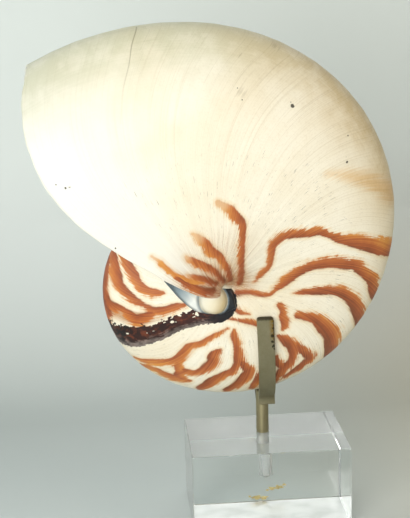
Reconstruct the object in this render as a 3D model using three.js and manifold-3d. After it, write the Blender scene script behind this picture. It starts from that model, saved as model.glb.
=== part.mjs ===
// A nautilus shell held upright by a two-prong metal clip on a clear block.
// Millimetres, +Z up, front towards -Y. The origin is the middle of the block's underside.
import * as THREE from 'three';
import { mergeVertices } from 'three/addons/utils/BufferGeometryUtils.js';
import Module from 'manifold-3d';

const wasm = await Module();
wasm.setup();
const degree = Math.PI / 180;
const weldDistance = 1e-4;

// Block: a clear slab with a blind drilled hole for the post
const block = { width: 63, depth: 43, height: 32, chamfer: 0.5 };
const hole = { diameter: 5.4, depth: 14, point: 1.5, sides: 40 };

// Post: a round rod that stands a little way into the hole
const post = { x: -0.7, y: 3.4, diameter: 5, sunk: 5, rise: 17.6, edge: 0.4, sides: 32 };

// Prongs: flat bars brazed to the post and bent to follow the shell's two flanks.
// A bend is [distance out from the post's axis, height above the block].
const prong = { width: 6.5, thickness: 2, edge: 0.3, corner: 1.2, stations: 26, tipCrowding: 1.4 };
const frontBends = [
  [3.85, 13], [4.2, 15.2], [5.9, 17.7], [10.4, 21.1], [13.5, 24.3],
  [15.6, 27.4], [18, 31.6], [21.8, 39.6], [24.6, 47.7], [26.8, 56],
];
const backBends = [
  [3.85, 12], [3.85, 15.5], [4.1, 18.9], [4.9, 21.4], [6.7, 24.5],
  [9, 31.8], [10.2, 39.8], [10.45, 46], [10.4, 51], [10.2, 56],
];
// Sideways place of a prong's foot and tip beside the post's axis
const frontLean = { foot: 1.5, tip: -1.6 };
const backLean = { foot: 1.2, tip: -2.6 };

// Shell: a coil that grows by the same ratio in every turn.
// The section's sizes are shares of the coil's radius at the outer edge there.
const coil = {
  growth: 2.95, // size after a full turn over the size before it
  lipRadius: 106.4, // coil axis to the outer edge at the lip, before the waver
  lipAngle: 130.3 * degree, // where the outer edge ends, around the axis
  widest: 0.263, // radius where the whorl is widest
  halfWidth: 0.294,
  shoulder: 0.2, // half width beside the umbilicus
  umbilicus: 0.04, // radius of the middle that the whorls leave open
  lead: [0.313, 0.013, 0.052], // cosine terms of how far the flanks' lip runs ahead
  waver: [[-0.069, 0], [-0.009, 0.023], [-0.008, -0.004]], // uneven growth, cosine and sine terms
};
const shellPlace = { x: -17.6, y: -7.5, z: 104.8, turn: -0.6 * degree, lean: 10.3 * degree };
const ringStep = 6 * degree;
const sideSteps = 18; // points across one flank, outer edge to umbilicus
const outerStart = -246 * degree; // the lip is at 0
const innerStart = -558 * degree;

// Body chamber: the open end of the shell, closed at the back by a hollow septum
const chamber = {
  back: -126 * degree,
  front: 24 * degree, // past the lip, so the mouth is open
  wallAtBack: 2.2,
  wallAtLip: 1.3,
  septumDepth: 16 * degree,
  septumCentre: 0.55,
  septumRings: 4,
};

// Umbilical callus: a smooth drop-shaped plug on each side, with its tail under the lip
const callus = {
  tip: new THREE.Vector3(-22, 0.3, 11.5),
  end: new THREE.Vector3(5.6, -8.8, 14.5),
  halfWidth: 8,
  flatten: 0.7,
  tailLength: 2, // the higher, the longer the thin tail
  fullness: 0.75, // the lower, the blunter the drop
  points: 14,
  sides: 24,
};
const core = { radius: 5.6, halfLength: 13.5 };

const materials = {
  shell: new THREE.MeshStandardMaterial({ color: '#f1ead2', roughness: 0.45, metalness: 0 }),
  frontProng: new THREE.MeshStandardMaterial({ color: '#79755c', roughness: 0.45, metalness: 1 }),
  backProng: new THREE.MeshStandardMaterial({ color: '#79755c', roughness: 0.45, metalness: 1 }),
  post: new THREE.MeshStandardMaterial({ color: '#6c664c', roughness: 0.4, metalness: 1 }),
  block: new THREE.MeshStandardMaterial({ color: '#dde4e0', roughness: 0.05, metalness: 0 }),
};

function signedVolume(positions, triangles) {
  let sum = 0;
  const a = new THREE.Vector3();
  const b = new THREE.Vector3();
  const c = new THREE.Vector3();
  for (let i = 0; i < triangles.length; i += 3) {
    a.fromArray(positions, 3 * triangles[i]);
    b.fromArray(positions, 3 * triangles[i + 1]);
    c.fromArray(positions, 3 * triangles[i + 2]);
    sum += a.dot(b.cross(c)) / 6;
  }
  return sum;
}

// A closed geometry as a solid, turned so that its faces point out
function toSolid(geometry) {
  const bare = geometry.clone();
  bare.deleteAttribute('normal');
  bare.deleteAttribute('uv');
  const merged = mergeVertices(bare, weldDistance);
  const vertProperties = new Float32Array(merged.attributes.position.array);
  const triVerts = new Uint32Array(merged.index.array);
  if (signedVolume(vertProperties, triVerts) < 0) triVerts.reverse();
  return new wasm.Manifold(new wasm.Mesh({ numProp: 3, vertProperties, triVerts }));
}

function toMesh(name, solid, material) {
  const { numProp, vertProperties, triVerts } = solid.getMesh();
  const points = [];
  for (let i = 0; i < vertProperties.length; i += numProp) {
    points.push(vertProperties[i], vertProperties[i + 1], vertProperties[i + 2]);
  }
  const geometry = new THREE.BufferGeometry();
  geometry.setAttribute('position', new THREE.Float32BufferAttribute(points, 3));
  geometry.setIndex(Array.from(triVerts));
  geometry.computeVertexNormals();
  const mesh = new THREE.Mesh(geometry, material);
  mesh.name = name;
  return mesh;
}

// A skin over rings of equal length, with a fan from the middle point at both ends
function loft(rings) {
  const count = rings[0].length;
  const last = (rings.length - 1) * count;
  const points = rings.flat();
  const triangles = [];
  for (let r = 0; r < rings.length - 1; r += 1) {
    for (let i = 0; i < count; i += 1) {
      const a = r * count + i;
      const b = r * count + ((i + 1) % count);
      triangles.push(a, b, b + count, a, b + count, a + count);
    }
  }
  for (const ring of [rings[0], rings[rings.length - 1]]) {
    const middle = new THREE.Vector3();
    ring.forEach((point) => middle.addScaledVector(point, 1 / count));
    points.push(middle);
  }
  for (let i = 0; i < count; i += 1) {
    const next = (i + 1) % count;
    triangles.push(points.length - 2, next, i);
    triangles.push(points.length - 1, last + i, last + next);
  }
  const geometry = new THREE.BufferGeometry().setFromPoints(points);
  geometry.setIndex(triangles);
  return geometry;
}

// A point of the whorl's section: across 0 is the outer edge, half a turn is the umbilicus.
// Two quarter ellipses meet where the whorl is widest; a wall moves the point inwards.
function sectionPoint(across, wall) {
  const { widest, halfWidth, shoulder, umbilicus } = coil;
  const onOuter = across <= Math.PI / 2;
  const reach = onOuter ? 1 - widest : widest - umbilicus;
  const foot = onOuter ? 0 : shoulder;
  const point = new THREE.Vector2(
    widest + reach * Math.cos(across),
    foot + (halfWidth - foot) * Math.sin(across),
  );
  const normal = new THREE.Vector2(0, 1);
  if (onOuter) normal.set(Math.cos(across) / reach, Math.sin(across) / halfWidth).normalize();
  point.addScaledVector(normal, -wall);
  point.x = Math.max(point.x, umbilicus + wall);
  return point;
}

// How far the lip at this place on the flank runs ahead of the outer edge
function lipLead(across) {
  return coil.lead.reduce((sum, term, i) => sum + term * (1 - Math.cos((i + 1) * across)), 0);
}

// The coil's radius at an angle of growth: a steady spiral with a slow waver
function coilRadius(angle) {
  const turn = angle + coil.lipAngle;
  const waver = coil.waver.reduce((sum, [cosine, sine], i) => (
    sum + cosine * Math.cos((i + 1) * turn) + sine * Math.sin((i + 1) * turn)
  ), 1);
  return coil.lipRadius * waver * coil.growth ** (angle / (2 * Math.PI));
}

// One closed ring of the coil: the near flank inwards, then the far flank outwards.
// The swell draws the ring to its middle, for the rounded end of the chamber.
function coilRing(growthAngle, wall = 0, swell = 1) {
  const ring = [];
  const steps = Array.from({ length: sideSteps + 1 }, (_, i) => i);
  const places = [
    ...steps.map((i) => [i, 1]),
    ...steps.slice(1).reverse().map((i) => [i, -1]),
  ];
  for (const [i, side] of places) {
    const across = (Math.PI * i) / sideSteps;
    const angle = growthAngle + lipLead(across);
    const radius = coilRadius(angle);
    const point = sectionPoint(across, wall / radius);
    const out = radius * THREE.MathUtils.lerp(chamber.septumCentre, point.x, swell);
    const turn = angle + coil.lipAngle;
    ring.push(new THREE.Vector3(
      out * Math.cos(turn),
      out * Math.sin(turn),
      side * radius * point.y * swell,
    ));
  }
  return ring;
}

function whorl(from, to) {
  const count = Math.round((to - from) / ringStep);
  const rings = Array.from({ length: count + 1 }, (_, i) => coilRing(from + (i * (to - from)) / count));
  return toSolid(loft(rings));
}

function chamberSolid() {
  const rings = [];
  for (let i = 0; i < chamber.septumRings; i += 1) {
    const lift = (Math.PI / 2) * (1 - (i + 0.5) / chamber.septumRings);
    const angle = chamber.back - chamber.septumDepth * Math.sin(lift);
    rings.push(coilRing(angle, chamber.wallAtBack, Math.cos(lift)));
  }
  const count = Math.round((chamber.front - chamber.back) / ringStep);
  for (let i = 0; i <= count; i += 1) {
    const angle = THREE.MathUtils.lerp(chamber.back, chamber.front, i / count);
    const along = Math.min(1, (angle - chamber.back) / -chamber.back);
    rings.push(coilRing(angle, THREE.MathUtils.lerp(chamber.wallAtBack, chamber.wallAtLip, along)));
  }
  return toSolid(loft(rings));
}

// A drop turned about the line from its pointed tip to its round end
function callusSolid(side) {
  const length = callus.tip.distanceTo(callus.end);
  const profile = [];
  for (let i = 0; i <= callus.points; i += 1) {
    const along = i / callus.points;
    const radius = callus.halfWidth * Math.sin(Math.PI * along ** callus.tailLength) ** callus.fullness;
    const onAxis = i === 0 || i === callus.points;
    profile.push(new THREE.Vector2(onAxis ? 0 : radius, along * length));
  }
  const drop = new THREE.LatheGeometry(profile, callus.sides);
  drop.scale(1, 1, callus.flatten);
  const direction = callus.end.clone().sub(callus.tip).normalize();
  const facing = new THREE.Vector3(0, 0, 1).addScaledVector(direction, -direction.z).normalize();
  const across = new THREE.Vector3().crossVectors(direction, facing);
  drop.applyMatrix4(new THREE.Matrix4().makeBasis(across, direction, facing));
  drop.translate(callus.tip.x, callus.tip.y, callus.tip.z);
  drop.scale(1, 1, side);
  return toSolid(drop);
}

// A core that fills the open middle of the coil between the two calluses
function coreSolid() {
  const geometry = new THREE.CylinderGeometry(core.radius, core.radius, 2 * core.halfLength, callus.sides);
  geometry.rotateX(Math.PI / 2);
  return toSolid(geometry);
}

function makeShell() {
  const inner = whorl(innerStart, outerStart);
  const outer = whorl(outerStart, 0);
  const hollow = chamberSolid().subtract(inner);
  const solid = outer.subtract(hollow).add(inner).add(coreSolid())
    .add(callusSolid(1)).add(callusSolid(-1));
  const shell = toMesh('shell', solid, materials.shell);
  shell.position.set(shellPlace.x, shellPlace.y, shellPlace.z);
  shell.rotation.set(Math.PI / 2 + shellPlace.lean, 0, shellPlace.turn, 'ZXY');
  return shell;
}

// A flat bar along its bends: eight-sided rings, narrowed at the tip by round corners
function makeProng(name, bends, lean, facing, material) {
  const path = new THREE.SplineCurve(bends.map(([out, height]) => new THREE.Vector2(out, height)));
  const length = path.getLength();
  const rings = [];
  for (let i = 0; i <= prong.stations; i += 1) {
    const along = 1 - (1 - i / prong.stations) ** prong.tipCrowding;
    const centre = path.getPointAt(along);
    const tangent = path.getTangentAt(along);
    const toTip = Math.max(0, prong.corner - (1 - along) * length);
    const halfWidth = prong.width / 2 - prong.corner + Math.sqrt(prong.corner ** 2 - toTip ** 2);
    const halfThick = prong.thickness / 2;
    const corners = [
      [halfWidth - prong.edge, halfThick], [halfWidth, halfThick - prong.edge],
      [halfWidth, prong.edge - halfThick], [halfWidth - prong.edge, -halfThick],
    ];
    const outline = [...corners, ...corners.map(([wide, thick]) => [-wide, -thick])];
    const sideways = THREE.MathUtils.lerp(lean.foot, lean.tip, along);
    rings.push(outline.map(([wide, thick]) => new THREE.Vector3(
      sideways + wide,
      facing * (centre.x + thick * tangent.y),
      centre.y - thick * tangent.x,
    )));
  }
  const bar = toMesh(name, toSolid(loft(rings)), material);
  bar.position.set(post.x, post.y, block.height);
  return bar;
}

function makePost() {
  const radius = post.diameter / 2;
  const profile = [
    new THREE.Vector2(0, -post.sunk),
    new THREE.Vector2(radius - post.edge, -post.sunk),
    new THREE.Vector2(radius, post.edge - post.sunk),
    new THREE.Vector2(radius, post.rise - post.edge),
    new THREE.Vector2(radius - post.edge, post.rise),
    new THREE.Vector2(0, post.rise),
  ];
  const rod = new THREE.LatheGeometry(profile, post.sides);
  rod.rotateX(Math.PI / 2);
  const mesh = toMesh('post', toSolid(rod), materials.post);
  mesh.position.set(post.x, post.y, block.height);
  return mesh;
}

function makeBlock() {
  const { width, depth, height, chamfer } = block;
  const outline = new THREE.Shape();
  outline.moveTo(chamfer - width / 2, chamfer - depth / 2);
  outline.lineTo(width / 2 - chamfer, chamfer - depth / 2);
  outline.lineTo(width / 2 - chamfer, depth / 2 - chamfer);
  outline.lineTo(chamfer - width / 2, depth / 2 - chamfer);
  outline.closePath();
  const slab = new THREE.ExtrudeGeometry(outline, {
    depth: height - 2 * chamfer,
    bevelThickness: chamfer,
    bevelSize: chamfer,
    bevelSegments: 1,
  });
  slab.translate(0, 0, chamfer);
  const radius = hole.diameter / 2;
  const overshoot = 1;
  const drill = new THREE.LatheGeometry([
    new THREE.Vector2(0, -hole.depth - hole.point),
    new THREE.Vector2(radius, -hole.depth),
    new THREE.Vector2(radius, overshoot),
    new THREE.Vector2(0, overshoot),
  ], hole.sides);
  drill.rotateX(Math.PI / 2);
  drill.translate(post.x, post.y, height);
  return toMesh('block', toSolid(slab).subtract(toSolid(drill)), materials.block);
}

const group = new THREE.Group();
group.add(makeShell());
group.add(makeProng('front_prong', frontBends, frontLean, -1, materials.frontProng));
group.add(makeProng('back_prong', backBends, backLean, 1, materials.backProng));
group.add(makePost());
group.add(makeBlock());

export default group;
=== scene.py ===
import bpy
import numpy as np
from mathutils import Matrix, Vector


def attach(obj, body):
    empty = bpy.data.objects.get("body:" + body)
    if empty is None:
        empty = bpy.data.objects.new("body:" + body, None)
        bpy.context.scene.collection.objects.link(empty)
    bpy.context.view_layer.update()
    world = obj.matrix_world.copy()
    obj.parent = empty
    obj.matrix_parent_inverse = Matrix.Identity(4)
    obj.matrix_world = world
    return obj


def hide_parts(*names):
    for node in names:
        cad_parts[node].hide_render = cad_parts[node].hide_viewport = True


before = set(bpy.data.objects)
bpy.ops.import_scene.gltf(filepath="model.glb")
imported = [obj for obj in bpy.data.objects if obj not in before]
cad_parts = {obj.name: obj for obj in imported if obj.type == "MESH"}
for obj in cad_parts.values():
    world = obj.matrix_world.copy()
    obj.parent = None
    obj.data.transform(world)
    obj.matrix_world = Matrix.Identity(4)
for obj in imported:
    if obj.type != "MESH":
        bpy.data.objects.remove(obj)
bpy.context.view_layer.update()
mm = 0.001  # shapes are worked out in millimetres and put into meshes in metres
stage = bpy.context.scene
print("frame loaded:", ", ".join(sorted(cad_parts)))


# hex colour as seen on a screen to the linear colour that a socket takes
def paint(seen):
    c = np.array([int(seen[i:i + 2], 16) for i in (1, 3, 5)]) / 255
    c = np.where(c <= 0.04045, c / 12.92, ((c + 0.055) / 1.055) ** 2.4)
    return (*c.tolist(), 1.0)


# uniform Catmull-Rom curve through the rows of points: each span is the cubic that leaves and
# meets its end points along the line between their neighbours
def smoothPath(points, samples):
    p = np.asarray(points, float)
    p = np.concatenate([p[:1], p, p[-1:]])
    u = np.linspace(0, len(p) - 3, samples)
    i = np.minimum(u.astype(int), len(p) - 4)
    f = (u - i)[:, None]
    a, b, c, d = p[i], p[i + 1], p[i + 2], p[i + 3]
    return b + 0.5 * f * (c - a + f * (2 * a - 5 * b + 4 * c - d + f * (3 * (b - c) + d - a)))


# 0 below low, 1 above high, and an s-shaped cubic in between
def ease(x, low, high):
    t = np.clip((x - low) / (high - low), 0, 1)
    return t * t * (3 - 2 * t)


def quarter(steps):
    return np.linspace(0, np.pi / 2, steps)


def fullTurn(sides):
    return np.linspace(0, 2 * np.pi, sides, endpoint=False)[None]


# way travelled along a path up to each of its points
def travelled(path):
    return np.concatenate([[0], np.cumsum(np.linalg.norm(np.diff(path, axis=0), axis=1))])


# closed skin over rings (n, m, 3): quads join each ring to the next one all the way round, and
# a fan to the ring's mean closes each end; the skin is turned to face out by its signed volume
def closedSkin(name, rings):
    n, m = rings.shape[:2]
    points = np.concatenate([rings.reshape(-1, 3), rings[0].mean(0)[None], rings[-1].mean(0)[None]])
    i, j = np.meshgrid(np.arange(n - 1), np.arange(m), indexing="ij")
    a, b = i * m + j, i * m + (j + 1) % m
    quads = np.stack([a, b, b + m, a + m], -1).reshape(-1, 4)
    j = np.arange(m)
    k = (j + 1) % m
    caps = np.concatenate([
        np.stack([np.full(m, n * m), k, j], -1),
        np.stack([np.full(m, n * m + 1), (n - 1) * m + j, (n - 1) * m + k], -1)])
    tris = np.concatenate([quads[:, :3], quads[:, [0, 2, 3]], caps])
    a, b, c = (points[tris[:, i]] for i in range(3))
    if np.einsum("ij,ij->i", a, np.cross(b, c)).sum() < 0:
        quads, caps = quads[:, ::-1], caps[:, ::-1]
    mesh = bpy.data.meshes.new(name)
    mesh.from_pydata((points * mm).tolist(), [], quads.tolist() + caps.tolist())
    piece = bpy.data.objects.new(name, mesh)
    stage.collection.objects.link(piece)
    return piece


def smoothShade(piece, sharpest=40):
    piece.data.shade_smooth()
    piece.data.set_sharp_from_angle(angle=np.radians(sharpest))


# the mesh that a piece has after its modifiers becomes its own
def applyModifiers(piece):
    seen = piece.evaluated_get(bpy.context.evaluated_depsgraph_get())
    mesh = bpy.data.meshes.new_from_object(seen)
    piece.modifiers.clear()
    old, piece.data = piece.data, mesh
    bpy.data.meshes.remove(old)


def setValues(mesh, name, values, domain="CORNER"):
    layer = mesh.attributes.new(name, "FLOAT_VECTOR", domain)
    layer.data.foreach_set("vector", np.ascontiguousarray(values, np.float32).ravel())


# one value, or one row of them, for each item of a mesh
def pulled(items, key, kind, wide=1):
    values = np.empty(wide * len(items), kind)
    items.foreach_get(key, values)
    return values


socketNames = {
    "colour": "Base Color", "metallic": "Metallic", "roughness": "Roughness", "ior": "IOR",
    "transmission": "Transmission Weight", "specular": "Specular IOR Level",
    "coat": "Coat Weight", "coatRoughness": "Coat Roughness", "normal": "Normal"}
making = {}  # node tree and shader of the material in the making


# a new material, which the functions below then add nodes to
def newMaterial(name, **sockets):
    mat = bpy.data.materials.new(name)
    mat.use_nodes = True
    making["tree"] = mat.node_tree
    making["shader"] = mat.node_tree.nodes["Principled BSDF"]
    for key, value in sockets.items():
        making["shader"].inputs[socketNames[key]].default_value = value
    return mat


# a node whose sockets are set to values or joined to other sockets
def addNode(kind, sockets, **settings):
    made = making["tree"].nodes.new(kind)
    for key, value in settings.items():
        setattr(made, key, value)
    for key, value in sockets.items():
        if isinstance(value, bpy.types.NodeSocket):
            making["tree"].links.new(value, made.inputs[key])
        else:
            made.inputs[key].default_value = value
    return made


def join(socket, key):
    making["tree"].links.new(socket, making["shader"].inputs[socketNames[key]])


def maths(operation, a, b=0.0, c=0.0, clamp=False):
    sockets = {0: a, 1: b, 2: c}
    return addNode("ShaderNodeMath", sockets, operation=operation, use_clamp=clamp).outputs[0]


def times(a, b, clamp=False):
    return maths("MULTIPLY", a, b, clamp=clamp)


def timesPlus(a, b, c):
    return maths("MULTIPLY_ADD", a, b, c)


# a value moved to both sides by a noise about its middle
def shaken(value, grain, reach):
    return timesPlus(maths("SUBTRACT", grain, 0.5), reach, value)


# s-shaped step from start at low to end at high
def stepUp(value, low, high, start=0.0, end=1.0):
    made = addNode("ShaderNodeMapRange", {
        "Value": value, "From Min": low, "From Max": high, "To Min": start, "To Max": end},
        interpolation_type="SMOOTHSTEP")
    return made.outputs["Result"]


# mix of two colours, each a socket or a hex colour
def blend(share, a, b, kind="MIX"):
    a, b = (paint(x) if isinstance(x, str) else x for x in (a, b))
    made = addNode("ShaderNodeMix", {0: share, 6: a, 7: b}, data_type="RGBA", blend_type=kind)
    return made.outputs[2]


def noise(vector, scale=1.0, detail=2.0, rough=0.5):
    made = addNode("ShaderNodeTexNoise", {
        "Vector": vector, "Scale": scale, "Detail": detail, "Roughness": rough})
    return made.outputs["Fac"]


def stretched(vector, scale, move=(0, 0, 0)):
    return addNode("ShaderNodeMapping", {"Vector": vector, "Scale": scale, "Location": move}).outputs[0]


def ramp(share, stops):
    made = addNode("ShaderNodeValToRGB", {"Fac": share})
    slots = made.color_ramp.elements
    while len(slots) < len(stops):
        slots.new(0.5)
    for slot, (place, seen) in zip(slots, stops):
        slot.position = place
        slot.color = paint(seen)
    return made.outputs["Color"]


def readValues(name):
    return addNode("ShaderNodeAttribute", {}, attribute_name=name).outputs["Vector"]


def parts(vector):
    return addNode("ShaderNodeSeparateXYZ", {0: vector}).outputs


def objectPlace():
    return addNode("ShaderNodeTexCoord", {}).outputs["Object"]


def distance(a, b):
    return addNode("ShaderNodeVectorMath", {0: a, 1: b}, operation="DISTANCE").outputs["Value"]


def bumped(height, strength, deepest):
    made = addNode("ShaderNodeBump", {"Height": height, "Strength": strength, "Distance": deepest})
    join(made.outputs[0], "normal")


def dress(piece, node, slot, *mats):
    for mat in mats:
        piece.data.materials.append(mat)
    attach(piece, "root")
    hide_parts(node)


camera = {"eye": (-65.2, -528.9, 241.3), "heading": 4.6, "pitch": 14.3, "roll": 1.53,
          "lens": 97.3, "sensor": 36, "nearest": 0.01}


# eye point and three angles: heading turns from +Y to +X, pitch looks down, roll tips to the right
def makeCamera():
    heading, pitch, roll = np.radians([camera["heading"], camera["pitch"], camera["roll"]])
    ahead = np.array([np.sin(heading) * np.cos(pitch), np.cos(heading) * np.cos(pitch), -np.sin(pitch)])
    right = np.array([np.cos(heading), -np.sin(heading), 0])
    up = np.cross(right, ahead)
    axes = np.eye(4)
    axes[:3, 0] = np.cos(roll) * right - np.sin(roll) * up
    axes[:3, 1] = np.sin(roll) * right + np.cos(roll) * up
    axes[:3, 2] = -ahead
    axes[:3, 3] = np.array(camera["eye"]) * mm
    data = bpy.data.cameras.new("camera")
    data.lens = camera["lens"]
    data.sensor_width = camera["sensor"]
    data.clip_start = camera["nearest"]
    made = bpy.data.objects.new("camera", data)
    made.matrix_world = Matrix(axes.tolist())
    stage.collection.objects.link(made)
    stage.camera = made


makeCamera()
print("camera set")


coil = {
    "growth": 2.95,  # size after one turn over the size before it
    "lipRadius": 106.4, "lipAngle": 130.3,  # axis to outer edge at the lip, and where that edge ends
    "widest": 0.263, "halfWidth": 0.294, "shoulder": 0.2, "umbilicus": 0.015,  # shares of the radius
    "lead": (0.313, 0.013, 0.052),  # cosine terms of how far the flanks' lip runs ahead
    "waver": ((-0.069, 0), (-0.009, 0.023), (-0.008, -0.004)),  # uneven growth, cosine and sine terms
    "place": (-17.6, -7.5, 104.8), "turn": -0.6, "lean": 10.3,
    "outerStart": -246, "lastRing": -1, "rimStart": -0.6, "wornFrom": -6,  # degrees of growth, 0 is the lip
    "outerRings": 246, "rimRings": 9, "innerRings": 50, "septumRings": 15,
    "olderRuns": ((-558, -420, 16), (-420, -340, 33), (-340, -246, 76)),  # from, to and number of rings
    "acrossSteps": 112, "fineSteps": 2001, "evenAngle": 0.3, "inset": 0.16, "ripple": 0.035,
    "wallAtLip": 1.3, "wallAtBack": 2.2, "chamberBack": -126,
    "septumDepth": 16, "septumCentre": 0.55,
}
lipAngle = np.radians(coil["lipAngle"])
perTurn = np.log(coil["growth"]) / (2 * np.pi)


def coilTurn():
    turn, lean = np.radians([coil["turn"], 90 + coil["lean"]])
    about = np.array([[np.cos(turn), -np.sin(turn), 0], [np.sin(turn), np.cos(turn), 0], [0, 0, 1]])
    tip = np.array([[1, 0, 0], [0, np.cos(lean), -np.sin(lean)], [0, np.sin(lean), np.cos(lean)]])
    return about @ tip


coilAxes = coilTurn()


# coil coordinates have the axis along z and the near flank at positive z
def fromCoil(points):
    return points @ coilAxes.T + np.array(coil["place"])


def toCoil(points):
    return (points - np.array(coil["place"])) @ coilAxes


# lead at a place across the flank: the sum of its cosine terms, 0 at the outer edge
def lipLead(across):
    return sum(term * (1 - np.cos((i + 1) * across)) for i, term in enumerate(coil["lead"]))


# radius of the coil at an angle: growth to the power of the turns made, with a slow waver of a few
# cosines and sines round the turn
def coilSize(angle):
    turn = angle + lipAngle
    waver = sum(a * np.cos((i + 1) * turn) + b * np.sin((i + 1) * turn)
                for i, (a, b) in enumerate(coil["waver"]))
    return coil["lipRadius"] * (1 + waver) * np.exp(perTurn * angle)


growthCheck = {"at": -52, "span": 9, "across": 0.75, "reach": 0.35, "rate": 2.6, "height": 3}


# shallow growth ripples: a few sines of the growth angle that drift across the flank, all inwards, and
# quicker ones at a check in growth near the top
def growthRelief(theta, across):
    t = np.degrees(theta)
    waves = (np.sin(1.17 * t + 1.4 * np.sin(0.11 * t)) + np.sin(0.71 * t + 0.8 * across)
             + np.sin(0.43 * t + 2.1 + 0.5 * across) + 1.2 * np.sin(0.19 * t + 0.7))
    size = np.exp(perTurn * theta)
    c = growthCheck
    check = np.exp(-((t - c["at"]) / c["span"]) ** 2 - ((across - c["across"]) / c["reach"]) ** 2)
    waves = 4.2 + waves + c["height"] * check * np.sin(c["rate"] * t)
    return coil["inset"] + coil["ripple"] * size * waves


# the section's outer or inner quarter ellipse: its reach along the radius and where its width starts
def sectionParts(outer):
    reach = np.where(outer, 1 - coil["widest"], coil["widest"] - coil["umbilicus"])
    return reach, np.where(outer, 0, coil["shoulder"])


# point of the coil: the section is two quarter ellipses, outer edge (across 0) to the widest place
# and on to the umbilicus (across pi); it is scaled by growth to the power of the turns made and set
# at its angle; wall moves it inwards and swell draws it to the middle
def coilPoint(theta, across, side, wall=0.0, swell=1.0):
    angle = theta + lipLead(across)
    size = coilSize(angle)
    outer = across <= np.pi / 2
    reach, foot = sectionParts(outer)
    out = coil["widest"] + reach * np.cos(across)
    wide = foot + (coil["halfWidth"] - foot) * np.sin(across)
    slopeOut = np.where(outer, np.cos(across) / reach, 0)
    slopeWide = np.where(outer, np.sin(across) / coil["halfWidth"], 1)
    slope = np.hypot(slopeOut, slopeWide)
    share = wall / size
    out = np.maximum(out - share * slopeOut / slope, coil["umbilicus"] + share)
    wide = wide - share * slopeWide / slope
    out = size * (coil["septumCentre"] + (out - coil["septumCentre"]) * swell)
    return np.stack([out * np.cos(angle + lipAngle), out * np.sin(angle + lipAngle),
                     side * size * wide * swell], -1)


# places across a ring: near flank inwards, far flank outwards, spaced between even angle and even length
def ringPlaces():
    v = np.linspace(0, np.pi, coil["fineSteps"])
    p = coilPoint(np.zeros_like(v), v, 1.0)
    flat = np.stack([np.hypot(p[:, 0], p[:, 1]), p[:, 2]], -1)
    length = travelled(flat)
    even = coil["evenAngle"] * v / np.pi + (1 - coil["evenAngle"]) * length / length[-1]
    near = np.interp(np.linspace(0, 1, coil["acrossSteps"] + 1), even, v)
    across = np.concatenate([near, near[-1:0:-1]])
    side = np.concatenate([np.ones_like(near), -np.ones(len(near) - 1)])
    return across[None], side[None]


ringAcross, ringSide = ringPlaces()


# worn lip: the edge falls back a little by a few sines of the place across it
def lipWear(across, side):
    s = side * across
    return np.radians(0.1 * (2.2 + np.sin(9 * s + 1) + 0.7 * np.sin(23 * s + 2) + 0.4 * np.sin(51 * s)))


# cup: the outer whorl's skin from its start to the lip, round the lip's edge, back along the inner
# wall and up the hollow septum to a pole
def cupRings():
    outer = np.linspace(coil["outerStart"], coil["lastRing"], coil["outerRings"])
    outer = np.radians(np.append(outer, coil["rimStart"]))[:, None]
    skin = growthRelief(outer, ringAcross)
    k = np.linspace(0, np.pi, coil["rimRings"])[1:-1, None]
    edge = np.radians(coil["rimStart"]) * (1 - np.sin(k))
    rim = coil["inset"] + coil["wallAtLip"] * (1 - np.cos(k)) / 2
    inner = np.radians(np.linspace(coil["rimStart"], coil["chamberBack"], coil["innerRings"]))[:, None]
    along = inner / np.radians(coil["chamberBack"])
    wall = coil["inset"] + coil["wallAtLip"] + (coil["wallAtBack"] - coil["wallAtLip"]) * along
    lift = quarter(coil["septumRings"])[1:-1, None]
    septum = np.radians(coil["chamberBack"] - coil["septumDepth"] * np.sin(lift))
    theta = np.concatenate([outer, edge, inner, septum])
    walls = np.concatenate([skin, np.broadcast_to(np.concatenate([rim, wall, 0 * lift + wall[-1]]),
                                                  (len(k) + len(inner) + len(lift), ringAcross.shape[1]))])
    swell = np.concatenate([np.ones((len(outer) + len(k) + len(inner), 1)), np.cos(lift)])
    worn = lipWear(ringAcross, ringSide) * ease(theta, np.radians(coil["wornFrom"]), 0)
    insideFrom = len(outer) + len(k) // 2
    return coilPoint(theta - worn, ringAcross, ringSide, walls, swell), insideFrom


# older whorl: the same skin further back, its rings closer where it shows
def olderRings():
    runs = [np.linspace(*run)[:-1] for run in coil["olderRuns"]]
    theta = np.radians(np.append(np.concatenate(runs), coil["outerStart"]))[:, None]
    return coilPoint(theta, ringAcross, ringSide, growthRelief(theta, ringAcross))


# callus: pearly layer of the inner lip on the older whorl, in coil millimetres
callus = {
    "tip": (-22.2, 0.6), "end": (4.6, -9.4), "floor": (12.5, 0.13),  # height at the tip, rise per mm along
    "along": (0, 0.06, 0.265, 0.5, 0.695, 0.82, 0.91, 1.0),
    "lower": (0.0, 1.4, 5.2, 8.0, 7.2, 6.2, 4.2, 0.0),
    "upper": (0.0, 1.2, 4.2, 6.5, 7.0, 6.6, 5.0, 0.0),
    "bulb": (-4.0, -6.4), "bulbWide": 5.6, "bulbTall": 6.4, "bulbHeight": 4.6,
    "ridgeFrom": (-13.2, -3.3), "ridgeTo": (-9.4, -8.8), "ridgeHeight": 0.9, "ridgeWide": 1.4,
    "groove": 0.8, "grooveAway": 2.8, "skirt": 1.2, "samples": 400, "ends": 0.02, "crownBy": 0.35,
    "tailHeight": 1.8, "depth": 6.0, "stations": 110, "sides": 72,
}


# callus axes: the tip, the way to the wide end, the way to its lower edge and the length
def callusAxes():
    tip, end = np.array(callus["tip"]), np.array(callus["end"])
    length = np.linalg.norm(end - tip)
    ahead = (end - tip) / length
    return tip, ahead, np.array([ahead[1], -ahead[0]]), length


def callusWidths(s):
    rows = smoothPath(np.stack([callus["along"], callus["lower"], callus["upper"]], -1), callus["samples"])
    return np.interp(s, rows[:, 0], rows[:, 1]), np.interp(s, rows[:, 0], rows[:, 2])


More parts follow.
